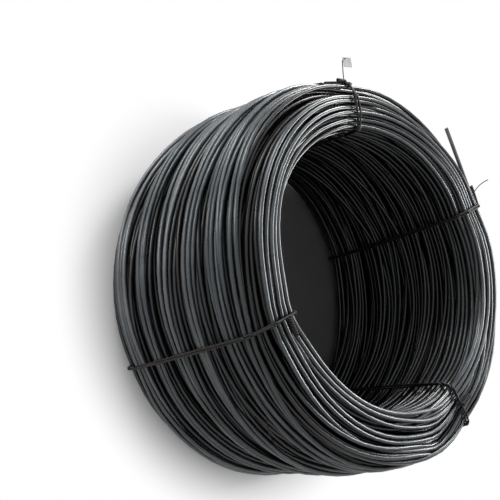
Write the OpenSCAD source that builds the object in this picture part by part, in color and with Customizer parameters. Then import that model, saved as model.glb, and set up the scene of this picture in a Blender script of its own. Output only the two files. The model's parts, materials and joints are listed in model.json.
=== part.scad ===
// Coil of wire rod, standing on its end with the eye upright.
// Millimetres. The eye runs along Z through the origin, and the end with the knots is on top.

/* [Coil] */
// Outside diameter of the coil
coil_od = 1200; // [1000:10:1400]
// Depth of the winding, from its outside to the eye
winding_depth = 170; // [130:5:220]
// Length of the coil along the eye
coil_length = 620; // [520:10:900]
// Diameter of the rod
rod_d = 13; // [8:0.5:16]

/* [Winding] */
// Bundles that the turns fall into
bundle_count = 5; // [3:1:7]
// Radius of the rounded edges of the bundles
bundle_edge = 40; // [20:1:46]
// Width of the furrow between one bundle and the next
furrow_width = 14; // [8:1:20]
// Angle where the free end of the rod starts
free_end_start = 17; // [16:1:30]
// Angle that the free end of the rod covers
free_end_sweep = 26; // [10:1:45]

/* [Ties] */
// Diameter of the tie wire
wire_d = 6; // [4:0.5:8]
// Gap between a tie and what it lies on
tie_gap = 0.3; // [0.2:0.1:1]
// Slant of the ties on the two sides
side_slant = 5; // [0:1:12]
// Length of the twisted knot on each tie
knot_length = 48; // [30:2:70]

/* [Tag] */
// Width of the blank tag
tag_width = 38; // [30:2:60]
// Height of the blank tag
tag_height = 30; // [24:2:50]
// Thickness of the blank tag
tag_thickness = 1.5; // [1:0.5:3]
// Diameter of the wire that holds the tag
tail_d = 3; // [2:0.5:4]
// Height of that wire above its knot
tail_length = 62; // [50:2:90]

/* [Hidden] */

round_steps = 180;
wire_steps = 48;
coil_r = coil_od / 2;
eye_r = coil_r - winding_depth;
rod_r = rod_d / 2;
wire_r = wire_d / 2;
half_length = coil_length / 2;

// Each end rolls over into the outside with a round shoulder, and into the eye with a round mouth
shoulder = 0.65 * winding_depth;
mouth = 0.2 * winding_depth;

// The turns lie no closer than this, pressed a little into each other, so that the winding closes
turn_pitch = 0.9 * rod_d;
bore_end = half_length - mouth;
mouth_r = mouth - rod_r;
mouth_steps = max(1, floor(mouth_r * PI / 2 / turn_pitch - 0.5));
face_y = half_length - rod_r;
face_start = eye_r + mouth;
face_end = coil_r - shoulder;
face_steps = max(1, floor((face_end - face_start) / turn_pitch));
corner_r = shoulder - rod_r;
corner_y = half_length - shoulder;
corner_steps = floor(corner_r * PI / 2 / turn_pitch);
wall_r = coil_r - rod_r;

// The bundles have round edges, and a furrow lies between one bundle and the next
furrow_count = bundle_count - 1;
furrow_pitch = 2 * corner_y / furrow_count;
edge = min(bundle_edge, 0.48 * (furrow_pitch - furrow_width));
edge_r = edge - rod_r;
edge_sweep = 78;
edge_arc = edge_r * edge_sweep * PI / 180;
edge_reach = edge + furrow_width / 2;

function furrow_at(number) = corner_y - (number + 0.5) * furrow_pitch;

// Each turn is its centre, as radius and distance along the eye, and the angle it faces
function mouth_turns() =
    [for (i = [0 : mouth_steps - 1]) let (a = 180 - 90 * (i + 0.5) / (mouth_steps + 0.5))
        [face_start + mouth_r * cos(a), bore_end + mouth_r * sin(a), a]];
function face_turns() =
    [for (i = [0 : face_steps - 1]) [face_start + (face_end - face_start) * i / face_steps, face_y, 90]];
function corner_turns() =
    [for (i = [0 : corner_steps - 1]) let (a = 90 - 90 * i / corner_steps)
        [face_end + corner_r * cos(a), corner_y + corner_r * sin(a), a]];

// A bundle's turns climb out of one furrow, run along the crest and go down into the next
function bundle_turn(top, crest, travel) =
    let (
        climb = min(travel - edge_arc, 0),
        along = min(max(travel - edge_arc, 0), crest),
        descent = max(travel - edge_arc - crest, 0),
        facing = -(climb + descent) / edge_r * 180 / PI
    )
    [wall_r - edge_r * (1 - cos(facing)), top - along + edge_r * sin(facing), facing];
function bundle_turns(top, crest, start) =
    let (
        finish = 2 * edge_arc + crest,
        steps = max(1, floor((finish - start) / turn_pitch))
    )
    [for (i = [0 : steps]) bundle_turn(top, crest, start + (finish - start) * i / steps)];
function end_bundle() = bundle_turns(corner_y, furrow_pitch / 2 - edge_reach, edge_arc);
function middle_bundles() =
    [for (i = [0 : furrow_count - 2])
        each bundle_turns(furrow_at(i) - edge_reach, furrow_pitch - 2 * edge_reach, 0)];
function mirrored(turns) =
    [for (i = [len(turns) - 1 : -1 : 0]) [turns[i][0], -turns[i][1], -turns[i][2]]];

// The open side of a turn, as a few points of its round
function turn_outline(turn) =
    [for (a = [60, 20, -20, -60])
        [turn[0] + rod_r * cos(turn[2] + a), turn[1] + rod_r * sin(turn[2] + a)]];

end_turns = concat(mouth_turns(), face_turns(), corner_turns(), end_bundle());
turns = concat(end_turns, middle_bundles(), mirrored(end_turns));

// The ties lie in slots in the eye, flush with its wall
slot_clearance = 0.6;
strand_offset = wire_r + 0.15;
run_outer = coil_r + tie_gap + wire_r;
run_inner = eye_r + wire_r + slot_clearance;
bend_r = mouth;
corner_path = shoulder + tie_gap + wire_r;
knot_d = 1.9 * wire_d;
knot_path = corner_path + wire_r;
knot_lead = 0.26 * knot_length;
knot_beads = 4;

// A slanted tie crosses the coil on a longer line, and both its strands clear the ends.
// The reach goes up to a tenth of a millimetre, so that the lengths of a strand meet end to end.
function reach(slant) = ceil(10 * (half_length + strand_offset * abs(sin(slant))) / cos(slant)) / 10;
function run_face(slant) = reach(slant) + tie_gap + wire_r;
function run_corner(slant) = reach(slant) - shoulder;

// Where a tie has its knot, as radius and distance along the eye
function on_shoulder(seat, slant) =
    [face_end + knot_path * cos(seat), -run_corner(slant) - knot_path * sin(seat)];
function on_face(part, slant) =
    [run_inner + bend_r + part * (face_end - run_inner - bend_r), -run_face(slant) - wire_r];
top_knot = on_shoulder(35, 0);
left_knot = on_face(0.4, side_slant);
right_knot = on_shoulder(40, side_slant);
bottom_knot = on_shoulder(60, 0);

tie_color = [0.10, 0.09, 0.08];
top_angle = 84;
left_angle = 188;
right_angle = 8;
bottom_angle = 290;

// The tag stands on the tail of the top tie, and a hook at the tail's end goes through its hole
hook_length = 14;
tag_hole_d = tail_d + 1;
tag_hole_inset = 6;
tail_top = [top_knot[0] + tail_length, top_knot[1]];

// Turns a section drawn as radius and height about the eye
module about_eye(angle = 360) {
    rotate_extrude(angle = angle, $fn = round_steps)
        children();
}

module winding_section() {
    polygon(concat(
        [[eye_r, bore_end]],
        [for (turn = turns) for (point = turn_outline(turn)) point],
        [[eye_r, -bore_end]]
    ));
}

// Sets out a tie at an angle round the coil, drawn with the radius along X and the way down the eye along Y
module at_angle(angle, slant = 0) {
    rotate([slant - 90, 0, angle])
        children();
}

module run(from, to, d) {
    length = norm(to - from);
    heading = atan2(to[1] - from[1], to[0] - from[0]);
    translate([from[0], from[1], 0])
        rotate([0, 90, heading])
            cylinder(d = d, h = length, $fn = wire_steps);
}

module bend(centre, radius, start, sweep, d) {
    translate([centre[0], centre[1], 0])
        rotate([0, 0, start])
            rotate_extrude(angle = sweep, $fn = round_steps)
                translate([radius, 0])
                    circle(d = d, $fn = wire_steps);
}

// One strand goes right round the section: along the outside, over both ends and through the eye
module strand(slant) {
    inner_corner = [run_inner + bend_r, run_face(slant) - bend_r];
    outer_corner = [face_end, run_corner(slant)];
    run([run_inner, -inner_corner[1]], [run_inner, inner_corner[1]], wire_d);
    run([run_outer, -outer_corner[1]], [run_outer, outer_corner[1]], wire_d);
    for (end = [0, 1])
        mirror([0, end, 0]) {
            bend(inner_corner, bend_r, 90, 90, wire_d);
            run([inner_corner[0], run_face(slant)], [outer_corner[0], run_face(slant)], wire_d);
            bend(outer_corner, corner_path, 0, 90, wire_d);
        }
}

module strand_pair() {
    for (side = [-1, 1])
        translate([0, 0, side * strand_offset])
            children();
}

// A twisted knot joins the two strands on the open end, and its twists show as beads
module knot(place, slant) {
    knot_steps = 4 * knot_beads;
    outline = [for (i = [0 : knot_steps])
        [knot_d / 2 * (0.85 + 0.15 * cos(360 * i * knot_beads / knot_steps)), knot_length * i / knot_steps]];
    translate([place[0], place[1], 0])
        rotate([-slant, 0, 20])
            translate([0, 0, -knot_lead])
                rotate_extrude($fn = wire_steps)
                    polygon(concat([[0, 0]], outline, [[0, knot_length]]));
}

module tie(angle, place, slant = 0) {
    at_angle(angle, slant) {
        strand_pair()
            strand(slant);
        knot(place, slant);
    }
}

// The tail of the top tie rises from its knot and hooks through the tag
module tail() {
    run(top_knot, tail_top, tail_d);
    translate([tail_top[0], tail_top[1], 0])
        sphere(d = tail_d, $fn = wire_steps);
    run(tail_top, [tail_top[0], tail_top[1] - hook_length], tail_d);
}

module tie_top() {
    color(tie_color) {
        tie(top_angle, top_knot);
        at_angle(top_angle)
            tail();
    }
}

module tie_left() {
    color(tie_color)
        tie(left_angle, left_knot, side_slant);
}

module tie_right() {
    color(tie_color)
        tie(right_angle, right_knot, -side_slant);
}

module tie_bottom() {
    color(tie_color)
        tie(bottom_angle, bottom_knot);
}

module tag() {
    color([0.92, 0.92, 0.90])
        at_angle(top_angle)
            translate([tail_top[0], tail_top[1] - hook_length / 2, 0])
                rotate([90, 0, 0])
                    linear_extrude(tag_thickness, center = true)
                        difference() {
                            translate([tag_hole_inset - tag_height, tag_hole_inset - tag_width])
                                square([tag_height, tag_width]);
                            circle(d = tag_hole_d, $fn = wire_steps);
                        }
}

// Room in the eye for a tie's inner run and its two bends
module slot_section(slant) {
    centre = [run_inner + bend_r, run_face(slant) - bend_r];
    floor_r = bend_r - wire_r - slot_clearance;
    beyond = reach(slant) + bend_r;
    half = concat(
        [[eye_r - bend_r, beyond], [centre[0], beyond]],
        [for (a = [90 : 30 : 180]) centre + floor_r * [cos(a), sin(a)]]
    );
    polygon(concat(half, [for (i = [len(half) - 1 : -1 : 0]) [half[i][0], -half[i][1]]]));
}

module tie_slot(angle, slant = 0) {
    slot_width = 2 * strand_offset + wire_d + 2 * slot_clearance;
    at_angle(angle, slant)
        linear_extrude(slot_width, center = true)
            slot_section(slant);
}

// The loose end of the rod lies on the shoulder of the open end
module free_end() {
    seat = 45;
    seat_r = shoulder - 0.25 * rod_r;
    about_eye(free_end_sweep)
        translate([face_end + seat_r * cos(seat), corner_y + seat_r * sin(seat)])
            circle(d = rod_d, $fn = wire_steps);
}

module rod_coil() {
    color([0.16, 0.17, 0.18])
        difference() {
            union() {
                about_eye()
                    winding_section();
                rotate([0, 0, free_end_start])
                    free_end();
            }
            tie_slot(top_angle);
            tie_slot(left_angle, side_slant);
            tie_slot(right_angle, -side_slant);
            tie_slot(bottom_angle);
        }
}

rod_coil();
tie_top();
tie_left();
tie_right();
tie_bottom();
tag();
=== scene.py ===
# Coil of wire rod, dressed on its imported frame.
# Metres. The eye runs along Z through the origin, and the open end with the knots is on top.
# A place in the section of the winding is a radius and a distance down the eye from the coil's middle.
import json
import math
from collections import namedtuple

import bpy
import numpy as np
from mathutils import Matrix, Vector


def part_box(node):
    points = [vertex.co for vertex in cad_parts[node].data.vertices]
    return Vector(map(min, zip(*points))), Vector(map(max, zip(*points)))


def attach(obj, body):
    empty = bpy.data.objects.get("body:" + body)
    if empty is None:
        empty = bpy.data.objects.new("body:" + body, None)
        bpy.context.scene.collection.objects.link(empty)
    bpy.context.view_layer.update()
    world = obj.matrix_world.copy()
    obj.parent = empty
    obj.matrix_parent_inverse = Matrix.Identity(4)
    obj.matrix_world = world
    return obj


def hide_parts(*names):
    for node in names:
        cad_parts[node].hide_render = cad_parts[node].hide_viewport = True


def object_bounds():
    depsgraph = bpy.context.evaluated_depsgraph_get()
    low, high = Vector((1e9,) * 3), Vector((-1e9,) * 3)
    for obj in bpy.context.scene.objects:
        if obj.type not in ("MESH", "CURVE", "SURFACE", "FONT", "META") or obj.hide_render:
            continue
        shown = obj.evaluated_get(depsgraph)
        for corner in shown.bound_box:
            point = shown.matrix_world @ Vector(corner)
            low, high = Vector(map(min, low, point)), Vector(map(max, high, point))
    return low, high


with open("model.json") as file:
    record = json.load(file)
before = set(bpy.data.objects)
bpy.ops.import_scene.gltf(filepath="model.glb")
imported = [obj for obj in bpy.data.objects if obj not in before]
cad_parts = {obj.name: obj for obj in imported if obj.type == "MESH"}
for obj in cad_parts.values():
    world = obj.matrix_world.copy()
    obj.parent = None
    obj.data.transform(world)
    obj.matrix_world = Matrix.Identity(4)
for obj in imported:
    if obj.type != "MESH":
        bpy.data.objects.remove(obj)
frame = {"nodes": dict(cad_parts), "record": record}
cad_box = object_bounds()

# Sizes from the frame
coil_low, coil_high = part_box("rod_coil")
coil_r = (coil_high[0] - coil_low[0]) / 2
half_length = (coil_high[2] - coil_low[2]) / 2
eye_r = frame["record"]["mounts"][0]["dims"]["r_mm"] / 1000
middle_r = (eye_r + coil_r) / 2
floor_z = cad_box[0][2]

# Rod: each turn is a tube with this many rings round the coil and sides round the rod
rod_r = 0.0065
station_count = 72
tube_sides = 7

# Section of the winding: its round edges outside and at the eye, and the furrows between its bundles
shoulder_r = 0.110
mouth_r = 0.034
gap_places = (-0.15, -0.05, 0.05, 0.15)
gap_width = 0.030
gap_inner_r = 0.020
bundle_count = len(gap_places) + 1
bundle_edges = [-half_length, *gap_places, half_length]
corner_points = 13
least_corner_r = 0.001

# A bundle's round edges beside a furrow, and how much lower it lies at its front than at its back
front_edge_r = 0.060
back_edge_r = 0.030
bundle_slope = 0.026

# Layers of turns, the depth of the core under them, how deep or how far from an end a turn still shows,
# and the turns side by side in the bottom of a furrow
layer_count = 3
layer_step = 0.0118
turn_pitch = 0.0148
core_depth = rod_r + layer_count * layer_step
shown_depth = 0.062
shown_depth_in_eye = 0.7 * shown_depth
shown_from_end = 0.8 * shoulder_r
furrow_turns = 4

# Share of the turns missing from the first layer
sparse_outside = 0.17
sparse_inside = 0.36

# How the turns wander, in and out across the winding and along the eye. Waves are amplitudes for one wave
# round the coil, two waves and so on. A spread is how far in or out bundles, groups and turns lie as a whole.
bundle_waves_across = (0.006, 0.004, 0.002)
bundle_waves_along = (0.011, 0.008, 0.004)
bundle_spread = 0.003
group_reach = 0.045
group_waves_across = (0.006, 0.005, 0.003)
group_waves_along = (0.005, 0.005, 0.003)
group_spread = 0.006
turn_waves_across = (0.0036, 0.0026, 0.0014)
turn_waves_along = (0.0045, 0.0036, 0.0022, 0.0010)
turn_spread = 0.0032
open_end_depth = 0.05
open_end_waves = (0.009, 0.005, 0.002)
stray_share = 0.13
stray_waves_across = (0.005, 0.004, 0.002)
stray_waves_along = (0.018, 0.012, 0.005)
furrow_waves_across = (0.0020, 0.0016, 0.0010)
furrow_waves_along = (0.006, 0.004, 0.002)

# Near the bottom tie some turns of the open end sag and slip in under the outer ones
sag_at = math.radians(275)
sag_width = math.radians(10)
sag_from = 0.465
sag_to = 0.560
sag_out = 0.040
sag_in = 0.024

# Turns that cut into each other are pushed apart, with a little play past the sizes of the frame
relax_rounds = 70
pairs_kept_for = 10
pair_reach = 3.0 * rod_r
least_apart = 1e-6
push_share = 0.3
play_in_eye = 0.008
play_outside = 0.010
play_at_open_end = 0.006

# Shade of the turns: painted light and shade by depth, lighter where a turn stands out and darker where it
# lies deeper, down to a depth
painted_shade_depth = 0.018
middle_shade = 0.46
painted_shade_range = 0.30
shade_spread = 0.17
free_end_shade = 1.05

# Tie wire. Its strands cross this many of their widths apart.
wire_r = 0.003
wire_sides = 8
strand_step = 0.006
crossing_widths = 1.02
tail_r = 0.0015

# How far to each side the ties draw the winding together, and by what share
cinch_width = math.radians(9)
cinch_across = 0.07
cinch_along = 0.035

# Angle and slant of each tie in degrees, how far its two strands swing to the side, how often they
# cross over and back on the way round, and its knot's place in the section and length
Tie = namedtuple("Tie", "angle slant spread twists knot_place knot_length")
ties = {
    "tie_top": Tie(84, 0, 0.0085, 9, (0.585, -0.266), 0.034),
    "tie_left": Tie(188, 5, 0.0034, 5, (0.476, -0.320), 0.054),
    "tie_right": Tie(8, -5, 0.0036, 6, (0.579, -0.275), 0.068),
    "tie_bottom": Tie(290, 0, 0.0050, 7, (0.505, -0.316), 0.046),
}

# Finish of what is modelled by hand
merge_reach = 0.00005
sharp_angle = math.radians(40)

random = np.random.default_rng(seed=41)
angles = np.arange(station_count) * 2 * math.pi / station_count
down_eye = np.array([0.0, 0.0, -1.0])
up_eye = -down_eye


# Winding: where each turn lies

def rounded_outline(low, high, corner_radii, depth):
    """A rounded rectangle in the section, a depth inside its outline, as dense points.

    corner_radii go round from the eye at the low end: eye low, outside low, outside high, eye high.
    """
    r0, r1 = low[0] + depth, high[0] - depth
    y0, y1 = low[1] + depth, high[1] - depth
    radii = [max(radius - depth, least_corner_r) for radius in corner_radii]
    corners = [(r0, y0, 1, 1, 270), (r1, y0, -1, 1, 360), (r1, y1, -1, -1, 90), (r0, y1, 1, -1, 180)]
    points = []
    for (r, y, toward_r, toward_y, finish), radius in zip(corners, radii):
        centre = np.array([r + toward_r * radius, y + toward_y * radius])
        sweep = np.radians(np.linspace(finish - 90, finish, corner_points))
        points.append(centre + radius * np.stack([np.cos(sweep), np.sin(sweep)], axis=-1))
    return np.concatenate(points)


def evenly_spaced(points, pitch, phase):
    """Points at an even pitch along a closed outline, and how far round each one is."""
    closed = np.vstack([points, points[:1]])
    steps = np.linalg.norm(np.diff(closed, axis=0), axis=1)
    travel = np.concatenate([[0], np.cumsum(steps)])
    count = int(travel[-1] / pitch)
    places = (np.arange(count) + phase) * travel[-1] / count
    spaced = [np.interp(places, travel, closed[:, k]) for k in range(points.shape[1])]
    return np.stack(spaced, axis=-1), places / travel[-1]


def lay_bundle(number):
    """Rest places of one bundle's turns, in a few layers where they show, and the group of each."""
    first = number == 0
    last = number == bundle_count - 1
    low = np.array([eye_r, bundle_edges[number] + (0 if first else gap_width / 2)])
    high = np.array([coil_r, bundle_edges[number + 1] - (0 if last else gap_width / 2)])
    radii = [
        mouth_r if first else gap_inner_r,
        shoulder_r if first else front_edge_r,
        shoulder_r if last else back_edge_r,
        mouth_r if last else gap_inner_r,
    ]
    round_trip = 2 * (high - low).sum()
    places, groups = [], []
    for layer in range(layer_count):
        outline = rounded_outline(low, high, radii, rod_r + layer * layer_step)
        turns, share = evenly_spaced(outline, turn_pitch, random.random())
        shown_outside = turns[:, 0] > coil_r - shown_depth
        shown_inside = turns[:, 0] < eye_r + shown_depth_in_eye
        at_open_end = first & (turns[:, 1] < low[1] + shown_from_end)
        at_back_end = last & (turns[:, 1] > high[1] - shown_from_end)
        shown = shown_outside | shown_inside | at_open_end | at_back_end
        if layer == 0:
            shown &= random.random(len(turns)) > np.where(shown_inside, sparse_inside, sparse_outside)
        if not first:
            toward_front = (high[1] - turns[:, 1]) / (high[1] - low[1])
            toward_outside = (turns[:, 0] - eye_r) / (coil_r - eye_r)
            turns[:, 0] -= bundle_slope * toward_front * toward_outside
        places.append(turns[shown])
        groups.append((share[shown] * round_trip / group_reach).astype(int))
    return np.concatenate(places), np.concatenate(groups)


def waves(count, amplitudes):
    """Slow waves round the coil, one row for each turn, with the amplitude for each number of waves."""
    total = np.zeros((count, station_count))
    for number, amplitude in enumerate(amplitudes, start=1):
        size = random.normal(0, amplitude, (count, 1))
        start = random.uniform(0, 2 * math.pi, (count, 1))
        total += size * np.cos(number * angles + start)
    return total


def angle_from(angle):
    """How far each station lies from an angle, from half a turn back to half a turn on."""
    return (angles - angle + math.pi) % (2 * math.pi) - math.pi


def loosen(places, groups):
    """Each turn's own path: its bundle drifts, so does its group, the turn waves, and some stray or sag."""
    count = len(places)
    group_count = groups.max() + 1
    radius = np.repeat(places[:, :1], station_count, axis=1)
    length = np.repeat(places[:, 1:], station_count, axis=1)
    radius = radius + waves(1, bundle_waves_across) + random.normal(0, bundle_spread)
    length = length + waves(1, bundle_waves_along)
    recess = random.normal(0, group_spread, (group_count, 1))
    radius = radius + (waves(group_count, group_waves_across) + recess)[groups]
    length = length + waves(group_count, group_waves_along)[groups]
    radius = radius + waves(count, turn_waves_across) + random.normal(0, turn_spread, (count, 1))
    length = length + waves(count, turn_waves_along)
    on_open_end = places[:, 1:] < open_end_depth - half_length
    radius = radius + on_open_end * waves(count, open_end_waves)
    stray = random.random((count, 1)) < stray_share
    radius = radius + stray * waves(count, stray_waves_across)
    length = length + stray * waves(count, stray_waves_along)
    across_end = np.clip((places[:, :1] - sag_from) / (sag_to - sag_from), 0, 1)
    sags = on_open_end & (places[:, :1] < sag_to)
    sag = sags * across_end * np.exp(-(angle_from(sag_at) / sag_width) ** 2)
    return radius + sag_out * sag, length + sag_in * sag


def lay_furrow(number, bundles, paths):
    """Paths of the turns in the bottom of a furrow, outside and in the eye, midway between its bundles."""
    drift = [paths[k][1].mean(axis=0) - bundles[k][0][:, 1].mean() for k in (number, number + 1)]
    across = turn_pitch * (np.arange(furrow_turns) - (furrow_turns - 1) / 2)
    depth = layer_count * layer_step
    levels = np.repeat([coil_r - depth, eye_r + depth], furrow_turns)
    radius = levels[:, None] + waves(len(levels), furrow_waves_across)
    length = gap_places[number] + np.tile(across, 2)[:, None] + sum(drift) / 2
    return radius, length + waves(len(levels), furrow_waves_along)


def close_pairs(radius, length):
    """Pairs of turns that come near each other anywhere round the coil."""
    near = np.zeros((len(radius), len(radius)), dtype=bool)
    for station in range(station_count):
        r = radius[:, station].astype(np.float32)
        y = length[:, station].astype(np.float32)
        near |= (r[:, None] - r) ** 2 + (y[:, None] - y) ** 2 < pair_reach ** 2
    return np.nonzero(np.triu(near, 1))


def settle(radius, length):
    """Pushes turns apart where they cut into each other, keeping each path smooth."""
    start_radius, start_length = radius.copy(), length.copy()
    for step in range(relax_rounds):
        if step % pairs_kept_for == 0:
            one, other = close_pairs(radius, length)
        across = radius[other] - radius[one]
        along = length[other] - length[one]
        apart = np.maximum(np.hypot(across, along), least_apart)
        push = np.maximum(2 * rod_r - apart, 0) * push_share / apart
        for value, part in ((radius, across * push), (length, along * push)):
            np.add.at(value, one, -part)
            np.add.at(value, other, part)
        np.clip(radius, eye_r + rod_r - play_in_eye, coil_r - rod_r + play_outside, out=radius)
        np.clip(length, rod_r - half_length - play_at_open_end, half_length - rod_r, out=length)
        for value, start in ((radius, start_radius), (length, start_length)):
            moved = value - start
            smooth = (np.roll(moved, 1, axis=1) + np.roll(moved, -1, axis=1) + 2 * moved) / 4
            value[:] = start + smooth
    return radius, length


def cinch(radius, length):
    """The ties draw the turns together across the winding, and in the open end's half along the eye too."""
    for tie in ties.values():
        tilt = length * math.tan(math.radians(tie.slant)) / radius
        off = angle_from(math.radians(tie.angle) + tilt)
        pull = np.exp(-(off / cinch_width) ** 2)
        radius = middle_r + (radius - middle_r) * (1 - cinch_across * pull)
        length = np.where(length < 0, length * (1 - cinch_along * pull), length)
    return radius, length


def wind_coil():
    """The bundle that each turn belongs to, and its radius and distance down the eye at each station."""
    bundles = [lay_bundle(number) for number in range(bundle_count)]
    paths = [loosen(*bundle) for bundle in bundles]
    owner = np.repeat(np.arange(bundle_count), [len(places) for places, _ in bundles])
    for number in range(bundle_count - 1):
        paths.append(lay_furrow(number, bundles, paths))
        owner = np.append(owner, [number] * (2 * furrow_turns))
    radius, length = settle(
        np.concatenate([radius for radius, _ in paths]),
        np.concatenate([length for _, length in paths]),
    )
    return owner, *cinch(radius, length)


def shade_turns(radius, length):
    """How light each turn is along its way: painted light where it stands out and painted shade where it lies
    deep, and each a little different.
    """
    # Painted light and shade: turns that lie deeper, in recesses and furrows, get darker, and turns that
    # stand out get lighter
    standing_out = np.maximum(radius - coil_r, np.abs(length) - half_length) + rod_r
    painted_depth_shade = np.clip(1 + 2 * standing_out / painted_shade_depth, -1, 1)
    own = random.normal(0, shade_spread, (len(radius), 1))
    return np.clip(middle_shade + painted_shade_range * painted_depth_shade + own, 0, 1)


# Meshes from arrays, for the many turns and for the strands that lie on them

def in_space(radius, angle, length):
    """A place on the coil from its radius, angle and distance down the eye."""
    return np.stack([radius * np.cos(angle), radius * np.sin(angle), 0 * angle - length], axis=-1)


def tube(paths, side, radius, sides, closed):
    """Points and faces of round tubes along paths, an array of tubes x points x 3.

    side is a direction that no path runs along, and sets where each tube's seam is.
    """
    ahead = np.roll(paths, -1, axis=1) - np.roll(paths, 1, axis=1)
    if not closed:
        ahead[:, 0] = paths[:, 1] - paths[:, 0]
        ahead[:, -1] = paths[:, -1] - paths[:, -2]
    ahead /= np.linalg.norm(ahead, axis=-1, keepdims=True)
    across = side - (ahead * side).sum(-1, keepdims=True) * ahead
    across /= np.linalg.norm(across, axis=-1, keepdims=True)
    third = np.cross(ahead, across)
    turn = np.arange(sides) * 2 * math.pi / sides
    ring = across[:, :, None] * np.cos(turn)[:, None] + third[:, :, None] * np.sin(turn)[:, None]
    points = paths[:, :, None] + radius * ring
    tubes, rings = paths.shape[:2]
    index = np.arange(tubes * rings * sides).reshape(tubes, rings, sides)
    after = np.roll(index, -1, axis=1)
    if not closed:
        index, after = index[:, :-1], after[:, :-1]
    faces = np.stack([index, after, np.roll(after, -1, axis=2), np.roll(index, -1, axis=2)], axis=-1)
    faces = faces[..., ::-1].reshape(-1, 4).tolist()
    if not closed:
        for first in range(0, tubes * rings * sides, rings * sides):
            last = first + (rings - 1) * sides
            faces.append(list(range(first + sides - 1, first - 1, -1)))
            faces.append(list(range(last, last + sides)))
    return points.reshape(-1, 3), faces


def joined(meshes):
    """Several points-and-faces meshes as one."""
    points, faces, count = [], [], 0
    for some_points, some_faces in meshes:
        points.append(some_points)
        faces += [[corner + count for corner in face] for face in some_faces]
        count += len(some_points)
    return np.concatenate(points), faces


def add_tubes(name, points, faces):
    """An object at the origin with many tubes as one smooth mesh."""
    mesh = bpy.data.meshes.new(name)
    mesh.from_pydata(points.tolist(), [], faces)
    mesh.polygons.foreach_set("use_smooth", [True] * len(mesh.polygons))
    mesh.update()
    piece = bpy.data.objects.new(name, mesh)
    bpy.context.scene.collection.objects.link(piece)
    return piece


def give_shade(piece, shade):
    """Stores how light each point of a piece is, or one shade for all."""
    mesh = piece.data
    layer = mesh.attributes.new("shade", "FLOAT", "POINT")
    layer.data.foreach_set("value", np.broadcast_to(shade, len(mesh.vertices)).astype(np.float32))


def dress(piece, material):
    """Gives a piece its material, and lets it ride on the coil."""
    piece.data.materials.append(material)
    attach(piece, "root")


# Rod and wire modelled by hand: a filled ring is extruded and spun along its way

def start_ring(place, heading, radius, sides):
    """A filled ring where a rod or wire starts, facing the way it runs, in edit mode."""
    bpy.ops.object.select_all(action="DESELECT")
    facing = Vector(heading).to_track_quat("Z", "Y").to_euler()
    bpy.ops.mesh.primitive_circle_add(
        vertices=sides, radius=radius, fill_type="NGON", location=place, rotation=facing)
    bpy.ops.object.transform_apply(location=True, rotation=True, scale=True)
    bpy.ops.object.mode_set(mode="EDIT")
    return bpy.context.object


def run_on(step):
    """Carries the ring straight on."""
    bpy.ops.mesh.extrude_region_move(TRANSFORM_OT_translate={"value": step})


def bend_round(centre, axis, angle, steps):
    """Carries the ring round a bend. The spin tool counts its angle the other way."""
    bpy.ops.mesh.spin(steps=steps, angle=-angle, center=centre, axis=axis)


def close_mesh():
    """Merges what meets, turns all faces outwards and smooths all but the sharp edges."""
    bpy.ops.mesh.select_all(action="SELECT")
    bpy.ops.mesh.remove_doubles(threshold=merge_reach)
    bpy.ops.mesh.normals_make_consistent(inside=False)
    bpy.ops.object.mode_set(mode="OBJECT")
    bpy.ops.object.shade_smooth_by_angle(angle=sharp_angle)


def join_into(piece, other):
    """Joins another object into a piece."""
    bpy.ops.object.select_all(action="DESELECT")
    other.select_set(True)
    piece.select_set(True)
    bpy.context.view_layer.objects.active = piece
    bpy.ops.object.join()


# Materials

def new_material(name):
    """A material with its nodes, its links and its shader."""
    material = bpy.data.materials.new(name)
    material.use_nodes = True
    nodes = material.node_tree.nodes
    return material, nodes, material.node_tree.links, nodes["Principled BSDF"]


def noise(nodes, links, scale, detail):
    """Cloudy patches that stay with the piece."""
    place = nodes.new("ShaderNodeTexCoord")
    pattern = nodes.new("ShaderNodeTexNoise")
    pattern.inputs["Scale"].default_value = scale
    pattern.inputs["Detail"].default_value = detail
    links.new(place.outputs["Object"], pattern.inputs["Vector"])
    return pattern.outputs["Fac"]


def ramp(nodes, links, value, stops):
    """Colours along a value, as (position, colour) stops."""
    node = nodes.new("ShaderNodeValToRGB")
    elements = node.color_ramp.elements
    while len(elements) < len(stops):
        elements.new(0.5)
    for element, (position, colour) in zip(elements, stops):
        element.position = position
        element.color = (*colour, 1)
    links.new(value, node.inputs["Fac"])
    return node.outputs["Color"]


def math_node(nodes, links, operation, first, second):
    """Two numbers or outputs put together by an operation."""
    node = nodes.new("ShaderNodeMath")
    node.operation = operation
    for socket, value in zip(node.inputs, (first, second)):
        if isinstance(value, (int, float)):
            socket.default_value = value
        else:
            links.new(value, socket)
    return node.outputs["Value"]


def bump(nodes, links, shader, height, strength, distance):
    """A fine grain on the surface."""
    node = nodes.new("ShaderNodeBump")
    node.inputs["Strength"].default_value = strength
    node.inputs["Distance"].default_value = distance
    links.new(height, node.inputs["Height"])
    links.new(node.outputs["Normal"], shader.inputs["Normal"])


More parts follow.
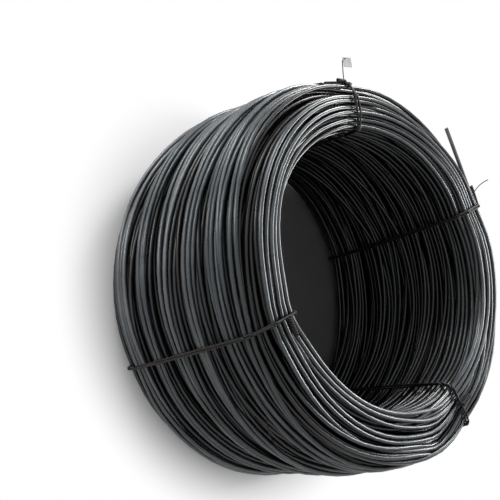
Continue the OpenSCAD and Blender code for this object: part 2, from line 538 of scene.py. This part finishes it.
def scaled_rod():
    """Hot-rolled rod with dark, slightly blue mill scale, taking painted light and shade from each point's
    shade: lighter where the turns stand out, darker where they lie deep.
    """
    material, nodes, links, shader = new_material("scaled_rod")
    shade = nodes.new("ShaderNodeAttribute")
    shade.attribute_name = "shade"
    # The shade attribute holds each turn's own tone and the painted light and shade by depth
    from_turn = math_node(nodes, links, "MULTIPLY", shade.outputs["Fac"], 0.60)
    from_patches = math_node(nodes, links, "MULTIPLY", noise(nodes, links, scale=9, detail=4), 0.40)
    lightness = math_node(nodes, links, "ADD", from_turn, from_patches)
    colour = ramp(nodes, links, lightness, [
        (0.20, (0.008, 0.008, 0.008)),
        (0.40, (0.021, 0.024, 0.025)),
        (0.60, (0.053, 0.062, 0.068)),
        (0.85, (0.157, 0.166, 0.174)),
        (1.00, (0.300, 0.300, 0.300)),
    ])
    links.new(colour, shader.inputs["Base Color"])
    shader.inputs["Metallic"].default_value = 0.2
    shader.inputs["Specular IOR Level"].default_value = 0.5
    rough = ramp(nodes, links, noise(nodes, links, scale=25, detail=3), [
        (0.3, (0.25, 0.25, 0.25)),
        (0.7, (0.37, 0.37, 0.37)),
    ])
    links.new(rough, shader.inputs["Roughness"])
    grain = noise(nodes, links, scale=160, detail=3)
    bump(nodes, links, shader, grain, strength=0.08, distance=0.0006)
    return material


def annealed_wire():
    """Black annealed tie wire, dull and a little brown."""
    material, nodes, links, shader = new_material("annealed_wire")
    colour = ramp(nodes, links, noise(nodes, links, scale=60, detail=4), [
        (0.30, (0.006, 0.005, 0.004)),
        (0.55, (0.018, 0.015, 0.013)),
        (0.80, (0.050, 0.040, 0.032)),
    ])
    links.new(colour, shader.inputs["Base Color"])
    shader.inputs["Specular IOR Level"].default_value = 0.3
    shader.inputs["Roughness"].default_value = 0.6
    grain = noise(nodes, links, scale=400, detail=2)
    bump(nodes, links, shader, grain, strength=0.3, distance=0.0004)
    return material


def painted_shade_core():
    """Steel deep between the turns, where hardly any light reaches, coloured near black as painted shade."""
    material, nodes, links, shader = new_material("painted_shade_core")
    # Painted shade: the core stands for deeper turns of the same steel and is coloured darker than the rod's
    # own tone
    colour = ramp(nodes, links, noise(nodes, links, scale=30, detail=3), [
        (0.3, (0.010, 0.010, 0.010)),
        (0.7, (0.022, 0.022, 0.022)),
    ])
    links.new(colour, shader.inputs["Base Color"])
    shader.inputs["Specular IOR Level"].default_value = 0.0
    shader.inputs["Roughness"].default_value = 0.9
    return material


def blank_tag():
    """Off-white card with faint smudges."""
    material, nodes, links, shader = new_material("blank_tag")
    colour = ramp(nodes, links, noise(nodes, links, scale=25, detail=2), [
        (0.35, (0.52, 0.52, 0.50)),
        (0.65, (0.68, 0.68, 0.66)),
    ])
    links.new(colour, shader.inputs["Base Color"])
    shader.inputs["Roughness"].default_value = 0.7
    grain = noise(nodes, links, scale=300, detail=2)
    bump(nodes, links, shader, grain, strength=0.15, distance=0.0003)
    return material


# Turns of the rod

owner, turn_radius, turn_length = wind_coil()
turn_shade = shade_turns(turn_radius, turn_length)
rod_steel = scaled_rod()


def add_bundle(number):
    """The turns of one bundle, with those in the furrow behind it."""
    mine = owner == number
    turns = in_space(turn_radius[mine], angles, turn_length[mine])
    points, faces = tube(turns, down_eye, rod_r, tube_sides, closed=True)
    piece = add_tubes(f"rod_bundle_{number + 1}", points, faces)
    give_shade(piece, np.repeat(turn_shade[mine], tube_sides))
    dress(piece, rod_steel)
    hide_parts("rod_coil")


def add_core():
    """A plain ring deep inside the winding, seen only as the dark between the turns."""
    round_steps = 12
    bpy.ops.object.select_all(action="DESELECT")
    bpy.ops.mesh.primitive_plane_add(size=1, location=(middle_r, 0, 0), rotation=(math.pi / 2, 0, 0))
    core = bpy.context.object
    core.name = "winding_core"
    core.scale = (coil_r - eye_r - 2 * core_depth, 2 * (half_length - core_depth), 1)
    bpy.ops.object.transform_apply(location=True, rotation=True, scale=True)
    for part in (core.data.polygons, core.data.edges, core.data.vertices):
        part.foreach_set("select", [False] * len(part))
    for corner in core.data.vertices:
        corner.select = corner.co.x > middle_r
    bpy.ops.object.mode_set(mode="EDIT")
    bpy.ops.mesh.select_mode(type="VERT")
    bpy.ops.mesh.bevel(offset=shoulder_r - core_depth, segments=round_steps, affect="VERTICES")
    bpy.ops.mesh.select_all(action="SELECT")
    bpy.ops.mesh.delete(type="ONLY_FACE")
    bpy.ops.mesh.select_all(action="SELECT")
    bpy.ops.mesh.spin(steps=station_count, angle=2 * math.pi, center=(0, 0, 0), axis=(0, 0, 1))
    close_mesh()
    dress(core, painted_shade_core())
    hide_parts("rod_coil")


def add_free_end():
    """The loose end of the rod springs a little way off the shoulder of the open end."""
    lying_r, lying_length = 0.5755, -0.2795
    starts_at = math.radians(1)
    leaves_at = math.radians(17)
    springs_by = math.radians(3)
    loose_run = 0.22
    climb = 0.03
    cut_edge = 0.0015
    sides, bend_steps = 10, 11
    place = in_space(lying_r, np.array(starts_at), lying_length)
    piece = start_ring(place, (-math.sin(starts_at), math.cos(starts_at), 0), rod_r, sides)
    piece.name = "free_rod_end"
    bend_round((0, 0, -lying_length), (0, 0, 1), leaves_at - starts_at, bend_steps)
    ahead = leaves_at + math.pi / 2 - springs_by
    run_on(loose_run * np.array([math.cos(ahead), math.sin(ahead), climb]))
    bpy.ops.mesh.bevel(offset=cut_edge, segments=2)
    close_mesh()
    give_shade(piece, free_end_shade)
    dress(piece, rod_steel)
    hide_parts("rod_coil")


for number in range(bundle_count):
    add_bundle(number)
add_core()
add_free_end()


# Ties

tie_steel = annealed_wire()


def turns_at(angle, slant):
    """Where a tie's plane cuts the turns, in that plane: radius and distance down the eye."""
    lean = math.tan(math.radians(slant))
    shift = np.arcsin(np.clip(turn_length * lean / turn_radius, -1, 1))
    nearest = np.abs(angle_from(angle + shift)).argmin(axis=1)
    rows = np.arange(len(owner))
    radius = turn_radius[rows, nearest] * np.cos(shift[rows, nearest])
    return np.stack([radius, turn_length[rows, nearest]], axis=-1)


def taut_loop(centres, reach):
    """The loop that a taut wire makes round the turns, with the outward direction along it."""
    facings = 1440
    facing = np.linspace(0, 2 * math.pi, facings, endpoint=False)
    outward = np.stack([np.cos(facing), np.sin(facing)], axis=-1)
    touched = centres[(centres @ outward.T).argmax(axis=0)]
    spaced, _ = evenly_spaced(np.hstack([touched + reach * outward, outward]), strand_step, 0)
    return spaced[:, :2], spaced[:, 2:]


def tie_frame(angle, slant):
    """The tie's own directions: out from the eye, down the eye and round the coil."""
    out = np.array([math.cos(angle), math.sin(angle), 0])
    around = np.array([-math.sin(angle), math.cos(angle), 0])
    along = down_eye + math.tan(math.radians(slant)) * around
    return out, along, around


def strand_pair(loop, outward, directions, spread, twists):
    """Two strands that run round side by side, cross now and then and stay above the floor."""
    out, along, around = directions
    part = np.arange(len(loop)) / len(loop)
    strands = []
    for start in (0, math.pi):
        swing = 2 * math.pi * twists * part + start
        sideways = spread * np.cos(swing)
        lifted = loop + outward * (wire_r * (1 + np.sin(swing)) * crossing_widths)[:, None]
        strand = lifted[:, :1] * out + lifted[:, 1:] * along + sideways[:, None] * around
        strand[:, 2] = np.maximum(strand[:, 2], floor_z + wire_r)
        strands.append(strand)
    return np.stack(strands)


def turned(vector, turn):
    """A vector turned about the eye by each of several angles."""
    x, y, z = vector
    cos, sin = np.cos(turn), np.sin(turn)
    return np.stack([x * cos - y * sin, x * sin + y * cos, z + 0 * turn], axis=-1)


def twisted_knot(base, out, ahead, length):
    """The two ends of a tie twisted together and laid along the turns, rising a little toward the cut."""
    twist_pitch = 0.012
    steps_a_twist = 16
    twist_r = 1.5 * wire_r
    lies_at = 2.5 * wire_r
    rises_by = 0.004
    twists = round(length / twist_pitch)
    part = np.linspace(0, 1, steps_a_twist * twists + 1)
    turn = length * part / np.hypot(base[0], base[1])
    out = turned(out, turn)
    across = np.cross(out, turned(ahead, turn))
    axis = turned(base, turn) + (lies_at + rises_by * part)[:, None] * out
    wound = []
    for start in (0, math.pi):
        swing = 2 * math.pi * twists * part + start
        wound.append(axis + twist_r * (np.cos(swing)[:, None] * out + np.sin(swing)[:, None] * across))
    return np.stack(wound)


def tag_tail(base, out, around):
    """The tail of the top tie rises from its knot and hooks through the tag's hole."""
    hole_from_eye = 0.6472
    hook_reach = 0.007
    bend_r = 0.004
    bend_steps = 4
    clear_of_knot, aside, bow = 0.010, 0.002, 0.003
    low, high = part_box("tag")
    hook_z = (low[2] + high[2]) / 2 - hook_reach
    bend_from = (hole_from_eye - bend_r) * out + hook_z * up_eye
    leaves = clear_of_knot * out + aside * around
    halfway = (bend_from - base) / 2 + bow * around
    tail = start_ring(base, out, tail_r, wire_sides)
    run_on(leaves)
    run_on(halfway - leaves)
    run_on(bend_from - base - halfway)
    bend_round(bend_from + bend_r * up_eye, np.cross(out, up_eye), math.pi / 2, bend_steps)
    run_on((2 * hook_reach - bend_r) * up_eye)
    close_mesh()
    return tail


def add_tie(name):
    """A tie's two strands and its knot, and on the top tie the tail that holds the tag."""
    tie = ties[name]
    angle = math.radians(tie.angle)
    directions = tie_frame(angle, tie.slant)
    out, along, around = directions
    loop, outward = taut_loop(turns_at(angle, tie.slant), rod_r + wire_r)
    strands = strand_pair(loop, outward, directions, tie.spread, tie.twists)
    knot_at = np.linalg.norm(loop - np.array(tie.knot_place), axis=1).argmin()
    base = loop[knot_at, 0] * out + loop[knot_at, 1] * along
    lifted = outward[knot_at, 0] * out + outward[knot_at, 1] * down_eye
    knot = twisted_knot(base, lifted, around, tie.knot_length)
    piece = add_tubes(f"{name}_wire", *joined([
        tube(strands, around, wire_r, wire_sides, closed=True),
        tube(knot, lifted, wire_r, wire_sides, closed=False),
    ]))
    if name == "tie_top":
        join_into(piece, tag_tail(base, out, around))
    dress(piece, tie_steel)
    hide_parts(name)


def bent_tail(start, heading, toward, bend_r, bend_angle):
    """A cut end of wire in one bend.

    start is a radius, an angle in degrees and a distance down the eye. The heading there, and toward,
    the way the wire bends, are shares out from the eye, round the coil and up.
    """
    bend_steps = 8
    radius, angle, length = start
    angle = math.radians(angle)
    out, _, around = tie_frame(angle, 0)
    own = np.stack([out, around, up_eye])
    place = in_space(radius, np.array(angle), length)
    heading = np.array(heading) @ own
    toward = np.array(toward) @ own
    tail = start_ring(place, heading, tail_r, wire_sides)
    bend_round(place + bend_r * toward, np.cross(heading, toward), math.radians(bend_angle), bend_steps)
    close_mesh()
    return tail


def add_tails():
    """Cut ends of the tie wire that stand out from the winding, at the right and at the left."""
    right = bent_tail(
        start=(0.575, 13.8, -0.280), heading=(0.62, 0.70, 0.34), toward=(0.49, -0.70, 0.52),
        bend_r=0.100, bend_angle=48)
    left = bent_tail(
        start=(0.560, 211.0, -0.150), heading=(0.87, 0.48, -0.12), toward=(-0.45, 0.87, 0.21),
        bend_r=0.096, bend_angle=78)
    join_into(right, left)
    right.name = "tie_tails"
    dress(right, tie_steel)


def finish_tag():
    """The tag keeps its solid and gets its material."""
    mesh = frame["nodes"]["tag"].data
    mesh.materials.clear()
    mesh.materials.append(blank_tag())


for name in ties:
    add_tie(name)
add_tails()
finish_tag()


# Floor, light and camera

def seen_directly(nodes, links):
    """1 for what the camera sees, straight, mirrored or through glass, and 0 for what lights the coil."""
    rays = nodes.new("ShaderNodeLightPath").outputs
    direct = math_node(nodes, links, "MAXIMUM", rays["Is Camera Ray"], rays["Is Glossy Ray"])
    return math_node(nodes, links, "MAXIMUM", direct, rays["Is Transmission Ray"])


def pale_floor(shadow_to, white_from):
    """Pale floor that takes the coil's shadow, and turns white for the camera a little way from it."""
    material, nodes, links, shader = new_material("pale_floor")
    shader.inputs["Base Color"].default_value = (0.90, 0.90, 0.90, 1)
    shader.inputs["Roughness"].default_value = 0.9
    place = nodes.new("ShaderNodeTexCoord")
    distance = nodes.new("ShaderNodeVectorMath")
    distance.operation = "LENGTH"
    links.new(place.outputs["Object"], distance.inputs[0])
    fade = nodes.new("ShaderNodeMapRange")
    fade.interpolation_type = "SMOOTHSTEP"
    fade.inputs["From Min"].default_value = shadow_to
    fade.inputs["From Max"].default_value = white_from
    links.new(distance.outputs["Value"], fade.inputs["Value"])
    white = nodes.new("ShaderNodeEmission")
    mix = nodes.new("ShaderNodeMixShader")
    share = math_node(nodes, links, "MULTIPLY", fade.outputs["Result"], seen_directly(nodes, links))
    links.new(share, mix.inputs["Fac"])
    links.new(shader.outputs["BSDF"], mix.inputs[1])
    links.new(white.outputs["Emission"], mix.inputs[2])
    links.new(mix.outputs["Shader"], nodes["Material Output"].inputs["Surface"])
    return material


def add_floor():
    """A wide floor just below the coil."""
    floor_size = 60
    below = 0.0005
    bpy.ops.object.select_all(action="DESELECT")
    bpy.ops.mesh.primitive_plane_add(size=floor_size, location=(0, 0, floor_z - below))
    floor = bpy.context.object
    floor.name = "floor"
    floor.data.materials.append(pale_floor(shadow_to=0.50, white_from=0.78))


def add_light(name, place, size, power):
    """A square lamp that faces the coil's middle."""
    data = bpy.data.lights.new(name, "AREA")
    data.size = size
    data.energy = power
    lamp = bpy.data.objects.new(name, data)
    lamp.location = place
    lamp.rotation_euler = (-Vector(place)).to_track_quat("-Z", "Y").to_euler()
    bpy.context.scene.collection.objects.link(lamp)


def add_world(strength):
    """Soft light from all round, with a white background for what looks straight at it."""
    world = bpy.data.worlds.new("studio")
    bpy.context.scene.world = world
    world.use_nodes = True
    nodes = world.node_tree.nodes
    links = world.node_tree.links
    background = nodes["Background"]
    background.inputs["Color"].default_value = (1, 1, 1, 1)
    level = math_node(nodes, links, "MAXIMUM", seen_directly(nodes, links), strength)
    links.new(level, background.inputs["Strength"])


def add_camera():
    """The photograph's view of the coil, turned with it from lying to standing on its end.

    The photograph's width and its focal length are in pixels.
    """
    photo_width = 500
    photo_focal = 980
    place = Vector((-2.315, -2.124, 0.195))
    yaw, pitch, roll = (math.radians(degrees) for degrees in (-44.20, 0.86, -14.07))
    data = bpy.data.cameras.new("camera")
    data.sensor_width = 36
    data.lens = data.sensor_width * photo_focal / photo_width
    camera = bpy.data.objects.new("camera", data)
    bpy.context.scene.collection.objects.link(camera)
    bpy.context.scene.camera = camera
    on_end = Matrix.Rotation(-math.pi / 2, 4, "X")
    level_view = Matrix.Rotation(yaw, 4, "Z") @ Matrix.Rotation(math.pi / 2 - pitch, 4, "X")
    view = level_view @ Matrix.Rotation(roll, 4, "Z")
    camera.location = on_end @ place
    camera.rotation_euler = (on_end @ view).to_euler()


add_floor()
add_world(strength=0.05)
add_light("key", (2.4, 2.4, 0.95), size=1.2, power=150)
add_light("top", (-0.6, 3.4, 0.7), size=1.2, power=58)
add_light("fill", (-2.6, 2.4, 0.3), size=0.9, power=36)
add_light("side", (2.9, -0.4, 1.6), size=1.0, power=70)
add_camera()
bpy.context.scene.view_settings.view_transform = "Standard"
